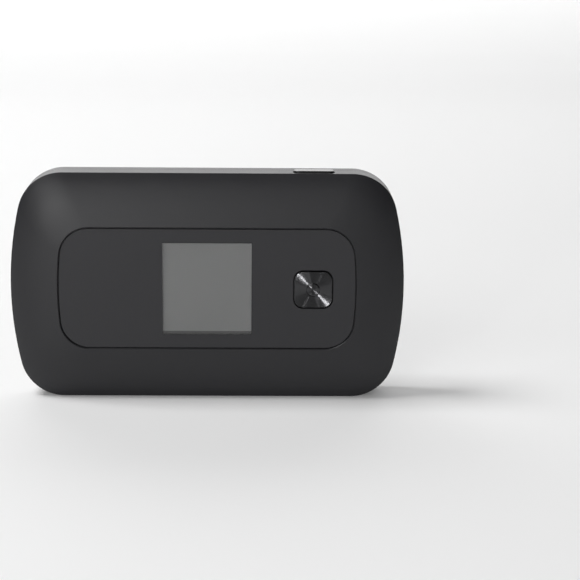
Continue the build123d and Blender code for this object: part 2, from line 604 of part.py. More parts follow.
def antenna(size, at, slits):
    """Flat antenna on the chassis's back, with slits that fold its conductor to and fro."""
    film_rear_y = DECK_REAR_Y + FILM_THICK
    block(DECK_REAR_Y, film_rear_y, size, at, FILM_CORNER)
    upright_film = size[1] > size[0]
    length = max(size)
    reach = SLIT_REACH * min(size)
    for index in range(slits):
        along = length * ((index + 1) / (slits + 1) - 0.5)
        aside = (min(size) - reach) / 2 * (1 if index % 2 else -1)
        slit_size = (reach, SLIT) if upright_film else (SLIT, reach)
        slit_at = (at[0] + aside, at[1] + along) if upright_film else (at[0] + along, at[1] + aside)
        block(DECK_REAR_Y, film_rear_y, slit_size, slit_at, mode=Mode.SUBTRACT)


ANTENNAS = {
    "main_antenna": ((5.6, 34.0), (-49.8, 0.0), 7),
    "diversity_antenna": ((5.6, 16.0), (49.0, 6.0), 4),
    "wifi_antenna_left": ((22.0, 2.6), (-26.0, 28.1), 5),
    "wifi_antenna_right": ((22.0, 2.6), (16.0, 28.1), 5),
}
for name, (size, at, slits) in ANTENNAS.items():
    with BuildPart() as film:
        antenna(size, at, slits)
    finish(film.part, name)

# ---- screws ---------------------------------------------------------------------------------------
KEY_RADIUS = 0.65
KEY_DEPTH = 0.5
FRAME_HEAD_HEIGHT = 0.9
BOARD_HEAD_HEIGHT = 0.8


def screw(head_front_y, head_height, tip_y, spots):
    """Small machine screws driven from the back."""
    posts(head_front_y, head_front_y + head_height, HEAD_RADIUS, spots)
    posts(tip_y, head_front_y, SCREW_RADIUS, spots)
    with BuildSketch(facing(head_front_y + head_height)) as key:
        with Locations(*spots):
            RegularPolygon(KEY_RADIUS, 6)
    extrude(key.sketch, amount=KEY_DEPTH, mode=Mode.SUBTRACT)


with BuildPart() as frame_screws:
    screw(HEAD_SEAT_Y, FRAME_HEAD_HEIGHT, FRAME_SCREW_TIP_Y, FRAME_SCREWS_AT)
finish(frame_screws.part, "frame_screws")

with BuildPart() as board_screws:
    screw(BOARD_REAR_Y, BOARD_HEAD_HEIGHT, BOARD_SCREW_TIP_Y, BOARD_SCREWS_AT)
finish(board_screws.part, "board_screws")

# ---- back cover -----------------------------------------------------------------------------------
COVER_Y = PARTING_Y + PARTING_GAP
COVER_INNER_Y = BACK_Y - WALL
CLIP_TIP_Y = 1.5
CLIP_ROOT_Y = 4.0
CLIP_THICK = 0.7
CLIP_CLEAR = 0.15
CLIP_SINK = 0.1  # how far a clip's root is sunk into the wall and behind the cover's edge
PRY_NOTCH = (9.0, 1.2)
PRY_NOTCH_DEPTH = 0.5
PRY_NOTCH_X = -26.0
clip_middle = WALL + CLIP_CLEAR + CLIP_THICK / 2
root_thick = CLIP_CLEAR + CLIP_THICK + CLIP_SINK
root_middle = WALL - CLIP_SINK + root_thick / 2


def clip(at, inward, along_x):
    """Clip inside the wall: a tongue that reaches past the parting line, and its root."""
    x, z = at
    tongue = (CLIP_WIDTH, CLIP_THICK) if along_x else (CLIP_THICK, CLIP_WIDTH)
    root = (CLIP_WIDTH, root_thick) if along_x else (root_thick, CLIP_WIDTH)
    tongue_at = (x + inward[0] * clip_middle, z + inward[1] * clip_middle)
    root_at = (x + inward[0] * root_middle, z + inward[1] * root_middle)
    block(CLIP_TIP_Y, CLIP_ROOT_Y, tongue, tongue_at)
    block(COVER_Y + CLIP_SINK, CLIP_ROOT_Y, root, root_at)


with BuildPart() as back_cover:
    extrude(outline(BACK_Y, OUTER), amount=BACK_Y - COVER_Y)
    fillet(back_cover.faces().sort_by(Axis.Y)[-1].edges(), REAR_ROUND)
    extrude(outline(COVER_INNER_Y, OUTER, WALL), amount=COVER_INNER_Y - COVER_Y, mode=Mode.SUBTRACT)
    for x in CLIPS_ABOVE_AT:
        clip((x, HEIGHT / 2), (0, -1), True)
    for x in CLIPS_BELOW_AT:
        clip((x, -HEIGHT / 2), (0, 1), True)
    clip((-WIDTH / 2, 0), (1, 0), False)
    clip((WIDTH / 2, 0), (-1, 0), False)
    upright(0, PRY_NOTCH_DEPTH, PRY_NOTCH, (PRY_NOTCH_X, COVER_Y), mode=Mode.SUBTRACT)
finish(back_cover.part, "back_cover")
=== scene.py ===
"""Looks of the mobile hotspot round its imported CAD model: finishes, fine pieces and stage."""

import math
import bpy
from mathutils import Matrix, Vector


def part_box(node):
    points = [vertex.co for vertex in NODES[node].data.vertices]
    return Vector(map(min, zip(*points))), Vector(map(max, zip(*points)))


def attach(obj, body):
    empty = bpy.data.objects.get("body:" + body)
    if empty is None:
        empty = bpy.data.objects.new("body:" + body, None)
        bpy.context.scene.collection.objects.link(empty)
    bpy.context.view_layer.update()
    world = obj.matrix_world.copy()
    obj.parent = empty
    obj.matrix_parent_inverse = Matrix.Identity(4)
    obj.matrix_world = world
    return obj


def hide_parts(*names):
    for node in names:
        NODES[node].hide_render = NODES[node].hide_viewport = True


bl_info = {
    "name": "Mobile Hotspot",
    "version": (1, 0, 0),
    "blender": (4, 5, 0),
    "location": "3D View > Sidebar > Hotspot",
    "description": "Builds the looks of a mobile hotspot around its packed CAD model",
    "category": "Object",
}

import bmesh
import bpy
from bpy.props import FloatProperty, FloatVectorProperty, PointerProperty
from mathutils import Matrix, Vector

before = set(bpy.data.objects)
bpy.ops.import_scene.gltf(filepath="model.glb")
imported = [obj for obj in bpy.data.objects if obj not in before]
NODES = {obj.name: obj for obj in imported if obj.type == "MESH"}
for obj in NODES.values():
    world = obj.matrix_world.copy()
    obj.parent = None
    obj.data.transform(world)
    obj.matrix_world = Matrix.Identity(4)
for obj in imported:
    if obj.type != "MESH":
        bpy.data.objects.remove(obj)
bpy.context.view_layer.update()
MM = 0.001


# ---- what a user would change -------------------------------------------------------------------
def colour_property(name, description, default):
    """Colour setting, in linear light."""
    return FloatVectorProperty(
        name=name,
        description=description,
        default=default,
        subtype="COLOR",
        size=3,
        min=0.0,
        max=1.0,
    )


def share_property(name, description, default):
    """Setting between nought and one."""
    return FloatProperty(
        name=name, description=description, default=default, min=0.0, max=1.0, subtype="FACTOR"
    )


def glow_property(name, description, default):
    """Strength of a light-giving surface."""
    return FloatProperty(name=name, description=description, default=default, min=0.0, soft_max=3.0)


def length_property(name, description, default):
    """Length setting, in metres."""
    return FloatProperty(
        name=name,
        description=description,
        default=default,
        min=0.0,
        subtype="DISTANCE",
        unit="LENGTH",
        precision=5,
    )


def angle_property(name, description, degrees):
    """Angle setting, given in degrees."""
    return FloatProperty(
        name=name,
        description=description,
        default=math.radians(degrees),
        subtype="ANGLE",
        unit="ROTATION",
    )


class HotspotFinishes(bpy.types.PropertyGroup):
    """Colours and surfaces of the pieces."""

    cover_colour: colour_property(
        "Cover colour", "Colour of both covers", (0.0185, 0.0185, 0.0206)
    )
    cover_roughness: share_property(
        "Cover roughness", "Roughness of the covers' moulded texture", 0.4
    )
    cover_gloss: share_property("Cover gloss", "How strongly both covers reflect", 0.32)
    panel_colour: colour_property(
        "Panel colour", "Colour of the panel round the display", (0.026, 0.0258, 0.0284)
    )
    panel_roughness: share_property("Panel roughness", "Roughness of the panel", 0.42)
    panel_gloss: share_property("Panel gloss", "How strongly the panel reflects", 0.25)
    grain_pitch: length_property(
        "Grain pitch", "Distance between the grains of the moulded texture", 0.22 * MM
    )
    screen_colour: colour_property(
        "Screen colour", "Colour of the display while it is off", (0.31, 0.31, 0.31)
    )
    spun_colour: colour_property(
        "Spun metal colour", "Colour of the menu button's face", (0.052, 0.052, 0.054)
    )
    spun_roughness: share_property(
        "Spun metal roughness", "Roughness within one groove of the face", 0.11
    )
    groove_pitch: length_property(
        "Groove pitch", "Distance between the turned grooves", 0.22 * MM
    )
    groove_depth: length_property("Groove depth", "Depth of the turned grooves", 0.03 * MM)


class HotspotStage(bpy.types.PropertyGroup):
    """Camera, lights and floor."""

    camera_place: FloatVectorProperty(
        name="Camera place",
        description="Where the camera stands",
        default=(0.0129, -0.5223, 0.1471),
        size=3,
        subtype="TRANSLATION",
        unit="LENGTH",
    )
    lens: FloatProperty(
        name="Lens", description="Focal length in millimetres", default=115.53, min=10.0
    )
    camera_pitch: angle_property("Camera pitch", "How far the camera looks down", 12.57)
    camera_yaw: angle_property("Camera yaw", "How far the camera turns to the right", 1.17)
    camera_roll: angle_property("Camera roll", "How far the camera leans to the left", 0.51)
    floor_colour: colour_property(
        "Floor colour", "Colour of the floor and backdrop", (0.8, 0.8, 0.8)
    )
    floor_glow: glow_property("Floor glow", "Light given off by the floor", 0.09)
    wall_glow: glow_property("Backdrop glow", "Light given off by the backdrop", 1.26)
    air_strength: glow_property("Air strength", "Even light from all round", 0.02)
    surroundings: glow_property("Surroundings", "Brightness of the studio beyond the floor", 0.78)


# ---- node trees ---------------------------------------------------------------------------------
# Numbers of the Mix node's colour sockets.
MIX_FIRST, MIX_SECOND, MIX_RESULT = 6, 7, 2


class Tree:
    """A node tree with short calls that add a node and link it."""

    def __init__(self, tree):
        self.nodes = tree.nodes
        self.links = tree.links

    def add(self, kind, inputs=None, **settings):
        """New node of that kind; inputs are values or the sockets that feed them."""
        node = self.nodes.new(kind)
        for name, value in settings.items():
            setattr(node, name, value)
        for socket, value in (inputs or {}).items():
            if isinstance(value, bpy.types.NodeSocket):
                self.links.new(value, node.inputs[socket])
            else:
                node.inputs[socket].default_value = value
        return node

    def maths(self, operation, first, second=0.0, clamp=False):
        """Value of first and second under that operation."""
        inputs = {0: first, 1: second}
        return self.add("ShaderNodeMath", inputs, operation=operation, use_clamp=clamp).outputs[0]

    def vectors(self, operation, first, second):
        """Vector of first and second under that operation."""
        inputs = {0: first, 1: second}
        return self.add("ShaderNodeVectorMath", inputs, operation=operation).outputs[0]

    def scaled(self, vector, scale):
        """Vector or colour times one number."""
        inputs = {0: vector, "Scale": scale}
        return self.add("ShaderNodeVectorMath", inputs, operation="SCALE").outputs[0]

    def place(self):
        """Where a point of the surface is, in metres."""
        return self.add("ShaderNodeTexCoord").outputs["Object"]

    def ranged(self, value, low, high, new_low=0.0, new_high=1.0):
        """Value stretched from low..high to new_low..new_high, and held within them."""
        inputs = {"Value": value, "From Min": low, "From Max": high}
        inputs.update({"To Min": new_low, "To Max": new_high})
        return self.add("ShaderNodeMapRange", inputs).outputs["Result"]

    def mixed(self, mask, first, second):
        """First colour where mask is 0, and second where it is 1."""
        inputs = {"Factor": mask, MIX_FIRST: first, MIX_SECOND: second}
        return self.add("ShaderNodeMix", inputs, data_type="RGBA").outputs[MIX_RESULT]

    def noise(self, vector, scale, detail=2.0):
        """Soft noise between nought and one."""
        inputs = {"Vector": vector, "Scale": scale, "Detail": detail}
        return self.add("ShaderNodeTexNoise", inputs).outputs["Fac"]


def rgba(colour):
    """Colour with full cover, as colour sockets take it."""
    return (*colour, 1.0)


# What every effect puts out.
EFFECT_OUTPUTS = {
    "Colour": "NodeSocketColor",
    "Roughness": "NodeSocketFloat",
    "Height": "NodeSocketFloat",
}


def effect(name, inputs):
    """New shader node group with named inputs and an effect's outputs: its tree and its inputs."""
    group = bpy.data.node_groups.new(name, "ShaderNodeTree")
    for label, default in inputs.items():
        kind = "NodeSocketFloat" if isinstance(default, float) else "NodeSocketColor"
        kind = "NodeSocketVector" if isinstance(default, Vector) else kind
        socket = group.interface.new_socket(label, in_out="INPUT", socket_type=kind)
        socket.default_value = default
    for label, kind in EFFECT_OUTPUTS.items():
        group.interface.new_socket(label, in_out="OUTPUT", socket_type=kind)
    tree = Tree(group)
    return tree, tree.add("NodeGroupInput").outputs


def put_out(tree, colour, roughness, change, height):
    """Ends an effect with its colour, its changed roughness and its height: the group."""
    rough = tree.maths("ADD", roughness, change, clamp=True)
    result = tree.add("NodeGroupOutput", {"Colour": colour, "Roughness": rough, "Height": height})
    return result.id_data


def moulded_grain():
    """Fine spark-eroded texture with faint handling marks, as on moulded plastic."""
    fine_share, broad_scale, swept_scale = 0.45, 55.0, 14.0
    mark_strength, fleck_strength = 0.12, 0.1
    tree, given = effect(
        "moulded_grain",
        {
            "Colour": rgba((0.05, 0.05, 0.05)),
            "Roughness": 0.5,
            "Pitch": 0.22 * MM,
            "Handling": 0.05,
        },
    )
    place = tree.place()
    scale = tree.maths("DIVIDE", 1.0, given["Pitch"])
    cells = {"Vector": place, "Scale": scale, "Smoothness": 0.6}
    grain = tree.add("ShaderNodeTexVoronoi", cells, feature="SMOOTH_F1").outputs["Distance"]
    fine = tree.noise(place, tree.maths("MULTIPLY", scale, fine_share))
    broad = tree.noise(place, broad_scale, 3.0)
    swept = tree.noise(place, swept_scale, 1.0)
    marks = tree.maths("SUBTRACT", tree.maths("ADD", broad, swept), 1.0)
    shade = tree.maths("ADD", tree.maths("MULTIPLY", marks, mark_strength), 1.0)
    fleck = tree.maths("MULTIPLY", fine, fleck_strength)
    fleck = tree.maths("ADD", fleck, 1.0 - fleck_strength / 2)
    tone = tree.scaled(given["Colour"], shade)
    tone = tree.scaled(tone, fleck)
    change = tree.maths("MULTIPLY", marks, given["Handling"])
    return put_out(tree, tone, given["Roughness"], change, tree.maths("ADD", grain, fine))


def rolled_finish():
    """Long fine streaks, as on brushed or rolled metal and drawn film."""
    smudge_scale, smudge_strength, streak_shade = 90.0, 0.15, 1.5
    tree, given = effect(
        "rolled_finish",
        {
            "Colour": rgba((0.5, 0.5, 0.5)),
            "Roughness": 0.3,
            "Stretch": Vector((200.0, 200.0, 4000.0)),
            "Spread": 0.12,
        },
    )
    place = tree.place()
    streak = tree.noise(tree.vectors("MULTIPLY", place, given["Stretch"]), 1.0, 3.0)
    broad = tree.noise(place, smudge_scale)
    swing = tree.maths("MULTIPLY", tree.maths("SUBTRACT", streak, 0.5), given["Spread"])
    smudge = tree.maths("MULTIPLY", tree.maths("SUBTRACT", broad, 0.5), smudge_strength)
    shade = tree.maths("ADD", tree.maths("MULTIPLY", swing, streak_shade), 1.0)
    tone = tree.scaled(given["Colour"], shade)
    return put_out(tree, tone, given["Roughness"], tree.maths("ADD", swing, smudge), streak)


def etched_lines():
    """Fine conductor lines with gaps between them, as on a circuit board or a printed aerial."""
    patch_scale, patch_edge = 120.0, (0.44, 0.5)
    cloud_scale, cloud_shade, cloud_rough = 700.0, (0.8, 1.2), 0.06
    layout = {"Scale": 1.0, "Mortar Size": 0.14, "Mortar Smooth": 0.2}
    layout.update({"Brick Width": 5.0, "Row Height": 1.0})
    shift = {"offset": 0.35, "offset_frequency": 3}
    tree, given = effect(
        "etched_lines",
        {
            "Base": rgba((0.0, 0.1, 0.05)),
            "Line": rgba((0.02, 0.2, 0.1)),
            "Roughness": 0.35,
            "Pitch": 0.6 * MM,
        },
    )
    place = tree.place()
    turn = {"Vector": place, "Rotation": (math.pi / 2, 0.0, 0.0)}
    upright = tree.add("ShaderNodeMapping", turn).outputs[0]
    laid_out = tree.scaled(upright, tree.maths("DIVIDE", 1.0, given["Pitch"]))
    bricks = tree.add("ShaderNodeTexBrick", {"Vector": laid_out, **layout}, **shift)
    patch = tree.ranged(tree.noise(place, patch_scale, 1.0), *patch_edge)
    shown = tree.maths("MULTIPLY", bricks.outputs["Fac"], patch)
    cloud = tree.noise(place, cloud_scale, 3.0)
    tone = tree.mixed(shown, given["Base"], given["Line"])
    tone = tree.scaled(tone, tree.ranged(cloud, 0.0, 1.0, *cloud_shade))
    change = tree.ranged(cloud, 0.0, 1.0, -cloud_rough, cloud_rough)
    return put_out(tree, tone, given["Roughness"], change, shown)


def printed_bars():
    """Plain printed bars of uneven length inside a border line, on label stock seen from behind."""
    border_at, border_width = 0.915, 0.008  # shares of the half width and height
    bar_thick, bar_start, bar_ends, bars_high = 0.42, -0.8, (-0.2, 0.8), 0.72
    fibre_scale, fibre_shade, fibre_rough = 2500.0, (0.93, 1.05), 0.08
    tree, given = effect(
        "printed_bars",
        {
            "Paper": rgba((0.8, 0.8, 0.8)),
            "Ink": rgba((0.05, 0.05, 0.05)),
            "Middle": Vector((0.0, 0.0, 0.0)),
            "Half": Vector((0.02, 1.0, 0.015)),
            "Row": 3.0 * MM,
            "Roughness": 0.5,
        },
    )
    place = tree.place()
    away = tree.vectors("SUBTRACT", place, given["Middle"])
    share = tree.vectors("DIVIDE", away, given["Half"])
    split = tree.add("ShaderNodeSeparateXYZ", {0: share}).outputs
    across = tree.maths("ABSOLUTE", split["X"])
    upward = tree.maths("ABSOLUTE", split["Z"])
    border = tree.maths("COMPARE", tree.maths("MAXIMUM", across, upward), border_at)
    border.node.inputs[2].default_value = border_width
    height = tree.add("ShaderNodeSeparateXYZ", {0: away}).outputs["Z"]
    rows = tree.maths("DIVIDE", height, given["Row"])
    number = {"W": tree.maths("FLOOR", rows)}
    length = tree.add("ShaderNodeTexWhiteNoise", number, noise_dimensions="1D").outputs["Value"]
    reach = tree.ranged(length, 0.0, 1.0, *bar_ends)
    along = tree.maths("MULTIPLY", split["X"], -1.0)
    bar = tree.maths("LESS_THAN", tree.maths("FRACT", rows), bar_thick)
    bar = tree.maths("MULTIPLY", bar, tree.maths("LESS_THAN", along, reach))
    bar = tree.maths("MULTIPLY", bar, tree.maths("GREATER_THAN", along, bar_start))
    bar = tree.maths("MULTIPLY", bar, tree.maths("LESS_THAN", upward, bars_high))
    fibre = tree.noise(place, fibre_scale, 3.0)
    tone = tree.mixed(tree.maths("MAXIMUM", bar, border), given["Paper"], given["Ink"])
    tone = tree.scaled(tone, tree.ranged(fibre, 0.0, 1.0, *fibre_shade))
    change = tree.ranged(fibre, 0.0, 1.0, -fibre_rough, fibre_rough)
    return put_out(tree, tone, given["Roughness"], change, fibre)


def soft_cells():
    """Small open cells, as in foam and silicone, with painted shade that darkens the pits of the
    cells.
    """
    cell_reach, painted_pit_shade, cell_rough = 0.8, (0.55, 1.25), 0.08
    tree, given = effect(
        "soft_cells", {"Colour": rgba((0.02, 0.02, 0.02)), "Roughness": 0.9, "Pitch": 0.4 * MM}
    )
    inputs = {"Vector": tree.place(), "Scale": tree.maths("DIVIDE", 1.0, given["Pitch"])}
    cell = tree.add("ShaderNodeTexVoronoi", inputs).outputs["Distance"]
    # painted shade: the colour darkens towards each cell's middle, where the bump sinks into a pit
    shade = tree.ranged(cell, 0.0, cell_reach, *painted_pit_shade)
    tone = tree.scaled(given["Colour"], shade)
    change = tree.ranged(cell, 0.0, cell_reach, -cell_rough, cell_rough)
    return put_out(tree, tone, given["Roughness"], change, cell)


EFFECTS = {}


def use_effect(tree, maker, **inputs):
    """Places an effect in a material's tree, building it the first time."""
    if maker.__name__ not in EFFECTS:
        EFFECTS[maker.__name__] = maker()
    node = tree.add("ShaderNodeGroup", node_tree=EFFECTS[maker.__name__])
    for label, value in inputs.items():
        node.inputs[label].default_value = value
    return node.outputs


def start_material(name, **constants):
    """New material with a Principled shader: the material, its tree and its shader."""
    material = bpy.data.materials.new(name)
    material.use_nodes = True
    material.node_tree.nodes.clear()
    tree = Tree(material.node_tree)
    settings = {key.replace("_", " "): value for key, value in constants.items()}
    shader = tree.add("ShaderNodeBsdfPrincipled", settings)
    out = tree.add("ShaderNodeOutputMaterial")
    tree.links.new(shader.outputs[0], out.inputs["Surface"])
    return material, tree, shader


def surface_from(tree, shader, made, relief):
    """Feeds an effect's colour, roughness and height to the shader; relief is in metres."""
    tree.links.new(made["Colour"], shader.inputs["Base Color"])
    tree.links.new(made["Roughness"], shader.inputs["Roughness"])
    inputs = {"Height": made["Height"], "Distance": relief, "Strength": 1.0}
    bump = tree.add("ShaderNodeBump", inputs)
    tree.links.new(bump.outputs[0], shader.inputs["Normal"])


def moulded(name, colour, roughness, pitch=0.22 * MM, relief=0.01 * MM, **constants):
    """Moulded plastic, rubber or paper with a fine grain."""
    material, tree, shader = start_material(name, **constants)
    made = use_effect(tree, moulded_grain, Colour=rgba(colour), Roughness=roughness, Pitch=pitch)
    surface_from(tree, shader, made, relief)
    return material


def rolled(name, colour, roughness, stretch, spread=0.12, relief=0.002 * MM, **constants):
    """Sheet metal or drawn film."""
    material, tree, shader = start_material(name, **constants)
    made = use_effect(
        tree,
        rolled_finish,
        Colour=rgba(colour),
        Roughness=roughness,
        Stretch=Vector(stretch),
        Spread=spread,
    )
    surface_from(tree, shader, made, relief)
    return material


def etched(name, base, line, roughness, pitch):
    """Circuit board or printed aerial."""
    material, tree, shader = start_material(name)
    made = use_effect(
        tree, etched_lines, Base=rgba(base), Line=rgba(line), Roughness=roughness, Pitch=pitch
    )
    surface_from(tree, shader, made, 0.004 * MM)
    return material


def printed(name, node, paper, ink, roughness, row):
    """Label stock printed with plain bars, laid out over that node's face."""
    material, tree, shader = start_material(name)
    low, high = (Vector(corner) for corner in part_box(node))
    half = (high - low) / 2
    half.y = 1.0  # the bars don't change from front to back
    made = use_effect(
        tree,
        printed_bars,
        Paper=rgba(paper),
        Ink=rgba(ink),
        Middle=(low + high) / 2,
        Half=half,
        Row=row,
        Roughness=roughness,
    )
    surface_from(tree, shader, made, 0.002 * MM)
    return material


def soft(name, colour, roughness, pitch, relief=0.02 * MM):
    """Foam or silicone."""
    material, tree, shader = start_material(name, Specular_IOR_Level=0.3)
    made = use_effect(tree, soft_cells, Colour=rgba(colour), Roughness=roughness, Pitch=pitch)
    surface_from(tree, shader, made, relief)
    return material


# ---- meshes -------------------------------------------------------------------------------------
def rounded_outline(width, height, corner, steps=6):
    """Points (x, z) round a rectangle with rounded corners, centred on the origin."""
    points = []
    for turn, (side, rise) in enumerate(((1, 1), (-1, 1), (-1, -1), (1, -1))):
        middle = Vector((side * (width / 2 - corner), rise * (height / 2 - corner)))
        for step in range(steps + 1):
            angle = math.pi / 2 * (turn + step / steps)
            points.append(middle + corner * Vector((math.cos(angle), math.sin(angle))))
    return points


def add_slab(bm, middle, size, front, rear, corner, edge):
    """Adds a closed slab facing the front, with rounded corners and slightly eased edges."""
    rings = []
    for depth, inset in ((front, edge), (front + edge, 0.0), (rear - edge, 0.0), (rear, edge)):
        outline = rounded_outline(size[0] - 2 * inset, size[1] - 2 * inset, corner - inset)
        rings.append([bm.verts.new((middle[0] + x, depth, middle[1] + z)) for x, z in outline])
    close_rings(bm, rings)


def close_rings(bm, rings):
    """Joins each ring to the next with quads, and caps the first and last."""
    count = len(rings[0])
    for low, high in zip(rings, rings[1:]):
        for i in range(count):
            j = (i + 1) % count
            bm.faces.new((low[i], low[j], high[j], high[i]))
    bm.faces.new(rings[0])
    bm.faces.new(rings[-1])


def new_piece(name, bm, material, body, slot, *stands_for):
    """Makes a piece that rides on a CAD body and stands for the CAD nodes named last."""
    bmesh.ops.recalc_face_normals(bm, faces=bm.faces)
    mesh = bpy.data.meshes.new(name)
    bm.to_mesh(mesh)
    bm.free()
    mesh.materials.append(material)
    piece = bpy.data.objects.new(name, mesh)
    bpy.context.scene.collection.objects.link(piece)
    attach(piece, body)
    if stands_for:
        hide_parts(*stands_for)
    return piece


def dress(material, *names):
    """Gives CAD nodes that material."""
    for name in names:
        slots = NODES[name].data.materials
        slots.clear()
        slots.append(material)


# ---- pieces -------------------------------------------------------------------------------------
class HOTSPOT_OT_covers(bpy.types.Operator):
    """Gives both covers their fine moulded texture"""

    bl_idname = "hotspot.covers"
    bl_label = "Covers"

    def execute(self, context):
        finishes = context.scene.hotspot_finishes
        plastic = moulded(
            "cover_plastic",
            finishes.cover_colour,
            finishes.cover_roughness,
            finishes.grain_pitch,
            Specular_IOR_Level=finishes.cover_gloss,
        )
        dress(plastic, "front_cover", "back_cover")
        return {"FINISHED"}


class HOTSPOT_OT_front_panel(bpy.types.Operator):
    """Gives the panel round the display its finish"""

    bl_idname = "hotspot.front_panel"
    bl_label = "Front panel"

    def execute(self, context):
        finishes = context.scene.hotspot_finishes
        dress(
            moulded(
                "panel_plastic",
                finishes.panel_colour,
                finishes.panel_roughness,
                finishes.grain_pitch,
                Specular_IOR_Level=finishes.panel_gloss,
            ),
            "front_panel",
        )
        return {"FINISHED"}


# Smudges on the window: noise scale and detail, the part of the noise used, and roughness.
SMUDGE_NOISE = (180.0, 4.0)
SMUDGE_RANGE = (0.35, 0.7)
SMUDGE_ROUGHNESS = (0.02, 0.09)


def window_glass():
    """Clear glass that is a little rougher where it was touched."""
    material, tree, shader = start_material("window_glass", Transmission_Weight=1.0, IOR=1.46)
    touched = tree.noise(tree.place(), *SMUDGE_NOISE)
    smudges = tree.ranged(touched, *SMUDGE_RANGE, *SMUDGE_ROUGHNESS)
    tree.links.new(smudges, shader.inputs["Roughness"])
    return material


class HOTSPOT_OT_display(bpy.types.Operator):
    """Gives the window, the display behind it and its gasket their finishes"""

    bl_idname = "hotspot.display"
    bl_label = "Display"

    def execute(self, context):
        screen = context.scene.hotspot_finishes.screen_colour
        smooth = {"pitch": 0.6 * MM, "relief": 1e-5 * MM}
        dress(window_glass(), "display_window")
        dress(moulded("screen_polariser", screen, 0.35, **smooth), "lcd_polariser")
        dress(moulded("screen_glass", (0.12, 0.12, 0.12), 0.15, **smooth), "lcd_glass")
        dress(soft("gasket_foam", (0.02, 0.02, 0.02), 0.9, 0.3 * MM), "display_gasket")
        dress(moulded("tray_plastic", (0.75, 0.75, 0.73), 0.4), "lcd_backlight")
        dress(etched("flex_film", (0.45, 0.2, 0.03), (0.7, 0.38, 0.1), 0.35, 0.4 * MM), "lcd_flex")
        dress(moulded("connector_plastic", (0.02, 0.02, 0.02), 0.5), "lcd_connector")
        return {"FINISHED"}


# The menu button's turned face: its ring, centre dimple, chamfer, outline and mesh. The ring and
# the dimple are that many times as deep as a groove.
RING_RADIUS = 1.8 * MM
RING_HALF_WIDTH = 0.13 * MM
RING_DEPTH = 4.0
DIMPLE_RADIUS = 0.22 * MM
DIMPLE_DEPTH = 3.0
FACE_CHAMFER = 0.15 * MM
FACE_CORNER = 2.55 * MM
FACE_SPOKES = 240
STEPS_PER_GROOVE = 6
SHARP_EDGE = math.radians(35)


def spun_depth(radius, pitch, depth):
    """How deep the turned face lies at that distance from its centre."""
    grooves = depth * (0.5 - 0.5 * math.cos(2 * math.pi * radius / pitch))
    ring = RING_DEPTH * depth * math.exp(-(((radius - RING_RADIUS) / RING_HALF_WIDTH) ** 2))
    dimple = DIMPLE_DEPTH * depth * math.exp(-((radius / DIMPLE_RADIUS) ** 2))
    return grooves + ring + dimple


def outline_radius(angle, half_width, half_height, corner):
    """Distance from the centre to a rounded rectangle's edge in that direction."""
    x, z = abs(math.cos(angle)), abs(math.sin(angle))
    if x * half_height > z * half_width:
        straight = half_width / x
        inside = straight * z <= half_height - corner
    else:
        straight = half_height / z
        inside = straight * x <= half_width - corner
    if inside:
        return straight
    middle_x, middle_z = half_width - corner, half_height - corner
    along = x * middle_x + z * middle_z
    return along + math.sqrt(along**2 - middle_x**2 - middle_z**2 + corner**2)


def spun_face(finishes):
    """Closed mesh of the menu button's face: turned grooves on a chamfered rounded square."""
    low, high = (Vector(corner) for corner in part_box("menu_button_face"))
    centre = (low + high) / 2
    half_width, half_height = (high.x - low.x) / 2, (high.z - low.z) / 2
    pitch, depth = finishes.groove_pitch, finishes.groove_depth
    step = pitch / STEPS_PER_GROOVE
    bm = bmesh.new()
    middle = bm.verts.new((centre.x, low.y + spun_depth(0.0, pitch, depth), centre.z))
    spokes, rims, backs = [], [], []
    for index in range(FACE_SPOKES):
        angle = 2 * math.pi * index / FACE_SPOKES
        across, up = math.cos(angle), math.sin(angle)
        edge = outline_radius(
            angle, half_width - FACE_CHAMFER, half_height - FACE_CHAMFER, FACE_CORNER - FACE_CHAMFER
        )
        spoke = []
        for radius in [step * i for i in range(1, int(edge / step))] + [edge]:
            y = low.y + spun_depth(radius, pitch, depth)
            spoke.append(bm.verts.new((centre.x + radius * across, y, centre.z + radius * up)))
        spokes.append(spoke)
        outer = outline_radius(angle, half_width, half_height, FACE_CORNER)
        x, z = centre.x + outer * across, centre.z + outer * up
        rims.append(bm.verts.new((x, low.y + FACE_CHAMFER, z)))
        backs.append(bm.verts.new((x, high.y, z)))
    for index in range(FACE_SPOKES):
        after = (index + 1) % FACE_SPOKES
        here, there = spokes[index], spokes[after]
        bm.faces.new((middle, here[0], there[0]))
        shared = min(len(here), len(there))
        for i in range(shared - 1):
            bm.faces.new((here[i], here[i + 1], there[i + 1], there[i]))
        for i in range(shared - 1, len(here) - 1):
            bm.faces.new((here[i], here[i + 1], there[-1]))
        for i in range(shared - 1, len(there) - 1):
            bm.faces.new((here[-1], there[i + 1], there[i]))
        bm.faces.new((here[-1], rims[index], rims[after], there[-1]))
        bm.faces.new((rims[index], backs[index], backs[after], rims[after]))
    bm.faces.new(backs)
    return bm


class HOTSPOT_OT_menu_button(bpy.types.Operator):
    """Makes the menu button's turned metal face and finishes the cap under it"""

    bl_idname = "hotspot.menu_button"
    bl_label = "Menu button"

    def execute(self, context):
        finishes = context.scene.hotspot_finishes
        material = rolled(
            "spun_metal",
            finishes.spun_colour,
            finishes.spun_roughness,
            (900.0, 900.0, 900.0),
            spread=0.06,
            relief=2e-4 * MM,
            Metallic=1.0,
        )
        face = spun_face(finishes)
        piece = new_piece(
            "menu_spun_face", face, material, "menu_button", "spun_metal", "menu_button_face"
        )
        piece.data.shade_smooth()
        piece.data.set_sharp_from_angle(angle=SHARP_EDGE)
        dress(moulded("button_plastic", (0.02, 0.02, 0.02), 0.4), "menu_button_cap")
        return {"FINISHED"}


